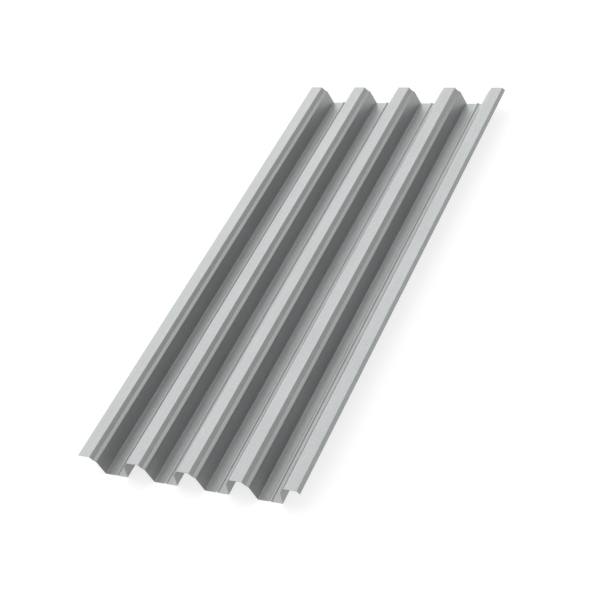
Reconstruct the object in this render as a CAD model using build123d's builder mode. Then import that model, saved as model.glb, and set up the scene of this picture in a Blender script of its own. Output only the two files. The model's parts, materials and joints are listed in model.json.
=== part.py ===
import os

from build123d import *

# A profiled steel deck sheet: one strip rolled into flat crests, wide troughs and stepped webs.
# Lengths are in millimetres. X runs across the waves, Y along them, and Z is up.

# Overall layout
pitch = 187.5
pitch_count = 4
sheet_length = 1865.0
profile_height = 75.0
sheet_thickness = 0.8
bend_radius = 2.0

# Crest and its stepped shoulders, on the upper face of the sheet
crest_width = 43.8
shoulder_run = 8.5
shoulder_drop = 13.3
ledge_run = 9.4
ledge_drop = 7.0
web_run = 29.2

# Bead rolled up along the middle of each trough
bead_base = 12.5
bead_top = 6.5
bead_height = 3.5

# The last crest ends in a short lip that follows the shoulder
lip_share = 0.91

lip_run = shoulder_run * lip_share
lip_drop = shoulder_drop * lip_share
overall_width = pitch * pitch_count + crest_width + lip_run
left_edge = -overall_width / 2
trough_level = sheet_thickness
crest_level = trough_level + profile_height
step_run = shoulder_run + ledge_run
step_drop = shoulder_drop + ledge_drop

# Upper face of the section, from the bare left edge to the lip
section_points = []
for wave in range(pitch_count):
    crest_left = left_edge + wave * pitch
    crest_right = crest_left + crest_width
    next_left = crest_left + pitch
    trough_mid = (crest_right + next_left) / 2
    section_points += [
        (crest_left, crest_level),
        (crest_right, crest_level),
        (crest_right + shoulder_run, crest_level - shoulder_drop),
        (crest_right + step_run, crest_level - step_drop),
        (crest_right + web_run, trough_level),
        (trough_mid - bead_base / 2, trough_level),
        (trough_mid - bead_top / 2, trough_level + bead_height),
        (trough_mid + bead_top / 2, trough_level + bead_height),
        (trough_mid + bead_base / 2, trough_level),
        (next_left - web_run, trough_level),
        (next_left - step_run, crest_level - step_drop),
        (next_left - shoulder_run, crest_level - shoulder_drop),
    ]
last_left = left_edge + pitch_count * pitch
last_right = last_left + crest_width
section_points += [
    (last_left, crest_level),
    (last_right, crest_level),
    (last_right + lip_run, crest_level - lip_drop),
]

with BuildPart() as profiled_sheet:
    with BuildSketch(Plane.XZ.offset(-sheet_length / 2)) as section:
        with BuildLine() as section_line:
            FilletPolyline(*section_points, radius=bend_radius)
            offset(amount=sheet_thickness, side=Side.RIGHT)
        make_face()
    extrude(amount=sheet_length)

profiled_sheet.part.label = "profiled_sheet"

os.makedirs("parts", exist_ok=True)
export_step(profiled_sheet.part, "parts/profiled_sheet.step")
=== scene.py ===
import json
from math import cos, radians, sin

import bpy
from mathutils import Matrix, Vector


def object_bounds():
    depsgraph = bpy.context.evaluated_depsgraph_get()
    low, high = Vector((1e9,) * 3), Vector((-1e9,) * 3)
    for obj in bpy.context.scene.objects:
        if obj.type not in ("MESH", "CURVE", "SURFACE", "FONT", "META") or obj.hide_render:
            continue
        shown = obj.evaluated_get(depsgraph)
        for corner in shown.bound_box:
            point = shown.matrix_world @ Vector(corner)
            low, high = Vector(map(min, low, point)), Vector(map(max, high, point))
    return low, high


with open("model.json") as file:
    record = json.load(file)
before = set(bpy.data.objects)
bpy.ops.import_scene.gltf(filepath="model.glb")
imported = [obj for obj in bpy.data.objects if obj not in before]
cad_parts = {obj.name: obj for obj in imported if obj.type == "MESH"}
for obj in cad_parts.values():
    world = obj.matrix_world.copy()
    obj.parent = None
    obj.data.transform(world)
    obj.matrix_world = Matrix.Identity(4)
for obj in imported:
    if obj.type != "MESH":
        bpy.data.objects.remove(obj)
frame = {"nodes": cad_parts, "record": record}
cad_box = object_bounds()

scene = bpy.context.scene
scene.view_settings.view_transform = "Standard"

# Camera, in metres, degrees and (lens and sensor) millimetres, in the part's own frame.
# It stands to the right of the near end, looks down along the waves and is rolled clockwise.
CAMERA_PLACE = Vector((2.399, -2.943, 3.084))
CAMERA_AIM = Vector((0.0044, -0.1228, -0.0004))
CAMERA_ROLL = 23.53
CAMERA_LENS = 86.0
SENSOR_WIDTH = 36.0

# Lamps: compass angle from +X towards +Y, height above the floor and width of the lamp
# as the sheet sees it, in degrees, then strength
LAMPS = {
    "key_back_left": (140.0, 34.0, 75.0, 1.83),
    "low_back_left": (155.0, 14.0, 75.0, 0.67),
    "rim_back_right": (62.0, 58.0, 55.0, 0.98),
    "low_right": (340.0, 8.0, 42.0, 1.18),
    "front_fill": (225.0, 25.0, 90.0, 1.0),
}

# Surround: its level at the horizon and overhead, and the two heights between which it fades,
# each the sine of an angle
HORIZON_LEVEL = 1.0
HORIZON_TOP = 0.12
CEILING_FOOT = 0.5
CEILING_LEVEL = 0.1

# Floor: length of a side in metres, and the white that it adds to its lit colour
FLOOR_SIDE = 400.0
FLOOR_COLOUR = (0.34, 0.34, 0.34, 1.0)
FLOOR_ROUGHNESS = 0.9
FLOOR_GLOW = 0.74
WHITE = (1.0, 1.0, 1.0, 1.0)

# The sheet's waves, in metres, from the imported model
crest_places = [m["pos_m"] for m in frame["record"]["mounts"] if m["name"].startswith("crest")]
FIRST_CREST = crest_places[0][0]
CREST_LEVEL = crest_places[0][2]
PITCH = crest_places[1][0] - FIRST_CREST
CREST_HALF = FIRST_CREST - cad_box[0][0]

# Zinc coat
ZINC_COLOUR = (0.351, 0.362, 0.363)
ZINC_METALLIC = 0.6
ZINC_ROUGHNESS = 0.4

# Marks in the coat: size in metres, how far each moves the colour, as a share of it, and the
# roughness, or how deep its relief is in metres, and how many octaves of noise it has
SPANGLE_SIZE = 0.007
SPANGLE_TONE = 0.045
SPANGLE_GLOSS = 0.05
STREAK_WIDTH = 0.010
STREAK_LENGTH = 1.2
STREAK_TONE = 0.04
STREAK_GLOSS = 0.035
STREAK_OCTAVES = 3.0
BLOOM_SIZE = 0.22
BLOOM_TONE = 0.03
BLOOM_OCTAVES = 2.0
GRAIN_SIZE = 0.0012
GRAIN_DEPTH = 0.000006
GRAIN_OCTAVES = 1.0
WAVINESS_SIZE = 0.16
WAVINESS_DEPTH = 0.00012
WAVINESS_OCTAVES = 0.0

# Crest bends, lighter and glossier: the lighter colour is a painted highlight along the bends, and partly
# a rubbed coat
BEND_HIGHLIGHT_AND_RUB_REACH = 0.005
BEND_HIGHLIGHT_AND_RUB_TONE = 0.06
RUB_GLOSS = -0.06

# Bare steel where the strip was sheared, and how squarely a face has to point along the length
# or sideways to be such a cut: from none of it at the first cosine to all at the second
SHEARED_COLOUR = (0.25, 0.245, 0.24, 1.0)
SHEARED_ROUGHNESS = 0.6
SHEARED_END = (0.6, 0.8)
SHEARED_SIDE = (0.990, 0.998)

# The span of a noise field that holds nearly all of its values
NOISE_LOW = 0.3
NOISE_HIGH = 0.7


def add_node(tree, kind, **values):
    """A shader node with some of its properties set."""
    node = tree.nodes.new(kind)
    for name, value in values.items():
        setattr(node, name, value)
    return node


def math_node(tree, operation, *operands):
    """One step of arithmetic; each operand is a number or another node's output."""
    node = add_node(tree, "ShaderNodeMath", operation=operation)
    for socket, operand in zip(node.inputs, operands):
        if isinstance(operand, (int, float)):
            socket.default_value = operand
        else:
            tree.links.new(operand, socket)
    return node.outputs[0]


def map_range(tree, value, from_low, from_high, to_low, to_high, smooth=False):
    """A value moved from one range to another and held inside it."""
    node = add_node(tree, "ShaderNodeMapRange")
    if smooth:
        node.interpolation_type = "SMOOTHSTEP"
    limits = (from_low, from_high, to_low, to_high)
    for name, limit in zip(("From Min", "From Max", "To Min", "To Max"), limits):
        node.inputs[name].default_value = limit
    tree.links.new(value, node.inputs["Value"])
    return node.outputs["Result"]


def split_axes(tree, vector):
    """The X, Y and Z outputs of a vector."""
    axes = add_node(tree, "ShaderNodeSeparateXYZ")
    tree.links.new(vector, axes.inputs["Vector"])
    return axes.outputs


def stretched(tree, place, sizes):
    """Coordinates in which a mark of these sizes is one unit long each way."""
    mapping = add_node(tree, "ShaderNodeMapping")
    mapping.inputs["Scale"].default_value = [1.0 / size for size in sizes]
    tree.links.new(place, mapping.inputs["Vector"])
    return mapping.outputs["Vector"]


def noise_field(tree, place, sizes, octaves):
    """Soft random marks, from about 0 to 1."""
    noise = add_node(tree, "ShaderNodeTexNoise")
    noise.inputs["Scale"].default_value = 1.0
    noise.inputs["Detail"].default_value = octaves
    tree.links.new(stretched(tree, place, sizes), noise.inputs["Vector"])
    return map_range(tree, noise.outputs["Fac"], NOISE_LOW, NOISE_HIGH, 0.0, 1.0)


def spangle_field(tree, place):
    """Zinc crystals: one random value for each cell."""
    cells = add_node(tree, "ShaderNodeTexVoronoi")
    cells.inputs["Scale"].default_value = 1.0
    tree.links.new(stretched(tree, place, [SPANGLE_SIZE] * 3), cells.inputs["Vector"])
    channels = add_node(tree, "ShaderNodeSeparateColor")
    tree.links.new(cells.outputs["Color"], channels.inputs["Color"])
    return channels.outputs["Red"]


def bend_highlight_and_rub(tree, place, breakup):
    """1 on the bends beside each crest, fading over a few millimetres, broken up along the length: where
    a painted highlight, partly a rubbed coat, lightens the colour.
    """
    axes = split_axes(tree, place)
    across = math_node(tree, "SUBTRACT", axes["X"], FIRST_CREST)
    from_crest = math_node(tree, "PINGPONG", across, PITCH / 2)
    from_edge = math_node(tree, "ABSOLUTE", math_node(tree, "SUBTRACT", from_crest, CREST_HALF))
    near_edge = map_range(tree, from_edge, 0.0, BEND_HIGHLIGHT_AND_RUB_REACH, 1.0, 0.0, smooth=True)
    high = map_range(tree, axes["Z"], CREST_LEVEL - BEND_HIGHLIGHT_AND_RUB_REACH, CREST_LEVEL, 0.0, 1.0)
    return math_node(tree, "MULTIPLY", math_node(tree, "MULTIPLY", near_edge, high), breakup)


def sheared_faces(tree):
    """1 on the two cut ends and the bare side edge, 0 on the rolled faces."""
    axes = split_axes(tree, add_node(tree, "ShaderNodeNewGeometry").outputs["True Normal"])
    end = map_range(tree, math_node(tree, "ABSOLUTE", axes["Y"]), *SHEARED_END, 0.0, 1.0)
    side = map_range(tree, math_node(tree, "ABSOLUTE", axes["X"]), *SHEARED_SIDE, 0.0, 1.0)
    return math_node(tree, "MAXIMUM", end, side)


def sum_of(tree, start, parts):
    """A start value plus each field times its amount, with every field centred on zero."""
    total = start
    for field, amount in parts:
        centred = map_range(tree, field, 0.0, 1.0, -amount, amount)
        total = math_node(tree, "ADD", centred, total)
    return total


def add_bump(tree, height, depth, normal=None):
    """Relief of a given depth in metres, on top of an earlier one."""
    bump = add_node(tree, "ShaderNodeBump")
    bump.inputs["Distance"].default_value = depth
    tree.links.new(height, bump.inputs["Height"])
    if normal is not None:
        tree.links.new(normal, bump.inputs["Normal"])
    return bump.outputs["Normal"]


def zinc_material():
    """Dull zinc coat on rolled strip: crystals, roll streaks, pale bloom, and crest bends lightened by a
    painted highlight and partly rubbed.
    """
    material = bpy.data.materials.new("zinc_coat")
    material.use_nodes = True
    tree = material.node_tree
    shader = tree.nodes["Principled BSDF"]
    place = add_node(tree, "ShaderNodeTexCoord").outputs["Object"]

    spangle = spangle_field(tree, place)
    streak_sizes = (STREAK_WIDTH, STREAK_LENGTH, STREAK_WIDTH)
    streaks = noise_field(tree, place, streak_sizes, STREAK_OCTAVES)
    bloom = noise_field(tree, place, [BLOOM_SIZE] * 3, BLOOM_OCTAVES)
    grain = noise_field(tree, place, [GRAIN_SIZE] * 3, GRAIN_OCTAVES)
    waviness = noise_field(tree, place, [WAVINESS_SIZE] * 3, WAVINESS_OCTAVES)
    highlight_and_rub = bend_highlight_and_rub(tree, place, streaks)
    sheared = sheared_faces(tree)

    tones = ((spangle, SPANGLE_TONE), (streaks, STREAK_TONE), (bloom, BLOOM_TONE))
    # The crest bends are lightened here: a painted highlight, partly a rubbed coat.
    tone = math_node(tree, "ADD", math_node(tree, "MULTIPLY", highlight_and_rub, BEND_HIGHLIGHT_AND_RUB_TONE), sum_of(tree, 1.0, tones))
    coat = add_node(tree, "ShaderNodeVectorMath", operation="SCALE")
    coat.inputs[0].default_value = ZINC_COLOUR
    tree.links.new(tone, coat.inputs["Scale"])
    colour = add_node(tree, "ShaderNodeMix", data_type="RGBA")
    tree.links.new(sheared, colour.inputs["Factor"])
    tree.links.new(coat.outputs["Vector"], colour.inputs["A"])
    colour.inputs["B"].default_value = SHEARED_COLOUR
    tree.links.new(colour.outputs["Result"], shader.inputs["Base Color"])

    glosses = ((spangle, SPANGLE_GLOSS), (streaks, STREAK_GLOSS))
    rub_gloss = math_node(tree, "MULTIPLY", highlight_and_rub, RUB_GLOSS)
    gloss = math_node(tree, "ADD", rub_gloss, sum_of(tree, ZINC_ROUGHNESS, glosses))
    roughness = add_node(tree, "ShaderNodeMix", data_type="FLOAT")
    tree.links.new(sheared, roughness.inputs["Factor"])
    tree.links.new(gloss, roughness.inputs["A"])
    roughness.inputs["B"].default_value = SHEARED_ROUGHNESS
    tree.links.new(roughness.outputs["Result"], shader.inputs["Roughness"])

    normal = add_bump(tree, waviness, WAVINESS_DEPTH)
    normal = add_bump(tree, grain, GRAIN_DEPTH, normal)
    tree.links.new(normal, shader.inputs["Normal"])
    shader.inputs["Metallic"].default_value = ZINC_METALLIC
    return material


def floor_material():
    """Pale floor that shows white to the camera and in reflections, and still takes the shadow."""
    material = bpy.data.materials.new("pale_floor")
    material.use_nodes = True
    tree = material.node_tree
    shader = tree.nodes["Principled BSDF"]
    shader.inputs["Base Color"].default_value = FLOOR_COLOUR
    shader.inputs["Roughness"].default_value = FLOOR_ROUGHNESS
    shader.inputs["Specular IOR Level"].default_value = 0.0
    shader.inputs["Emission Color"].default_value = WHITE
    path = add_node(tree, "ShaderNodeLightPath")
    shown = math_node(tree, "MAXIMUM", path.outputs["Is Camera Ray"], path.outputs["Is Glossy Ray"])
    shown = math_node(tree, "MAXIMUM", shown, path.outputs["Is Transmission Ray"])
    glow = math_node(tree, "MULTIPLY", shown, FLOOR_GLOW)
    tree.links.new(glow, shader.inputs["Emission Strength"])
    return material


def add_floor():
    bpy.ops.mesh.primitive_plane_add(size=FLOOR_SIDE)
    floor = bpy.context.object
    floor.name = "floor"
    floor.data.materials.append(floor_material())


def add_world():
    """Soft studio surround: white at the horizon, fading to a dim ceiling."""
    world = bpy.data.worlds.new("studio")
    world.use_nodes = True
    tree = world.node_tree
    background = tree.nodes["Background"]
    background.inputs["Color"].default_value = WHITE
    rise = split_axes(tree, add_node(tree, "ShaderNodeTexCoord").outputs["Generated"])["Z"]
    level = map_range(
        tree, rise, HORIZON_TOP, CEILING_FOOT, HORIZON_LEVEL, CEILING_LEVEL, smooth=True
    )
    tree.links.new(level, background.inputs["Strength"])
    scene.world = world


def add_lamp(name, compass, height, width, strength):
    """A broad lamp far away, so it lights the whole sheet evenly."""
    lamp = bpy.data.lights.new(name, "SUN")
    lamp.energy = strength
    lamp.angle = radians(width)
    lamp_object = bpy.data.objects.new(name, lamp)
    scene.collection.objects.link(lamp_object)
    turn, lift = radians(compass), radians(height)
    towards = Vector((cos(lift) * cos(turn), cos(lift) * sin(turn), sin(lift)))
    lamp_object.rotation_euler = towards.to_track_quat("Z", "Y").to_euler()


def add_camera():
    lens = bpy.data.cameras.new("camera")
    lens.lens = CAMERA_LENS
    lens.sensor_width = SENSOR_WIDTH
    camera = bpy.data.objects.new("camera", lens)
    scene.collection.objects.link(camera)
    aim = (CAMERA_AIM - CAMERA_PLACE).to_track_quat("-Z", "Y").to_matrix().to_4x4()
    roll = Matrix.Rotation(radians(-CAMERA_ROLL), 4, "Z")
    camera.matrix_world = Matrix.Translation(CAMERA_PLACE) @ aim @ roll
    scene.camera = camera


sheet = frame["nodes"]["profiled_sheet"]
sheet.data.materials.clear()
sheet.data.materials.append(zinc_material())

add_floor()
add_world()
for lamp_name, settings in LAMPS.items():
    add_lamp(lamp_name, *settings)
add_camera()
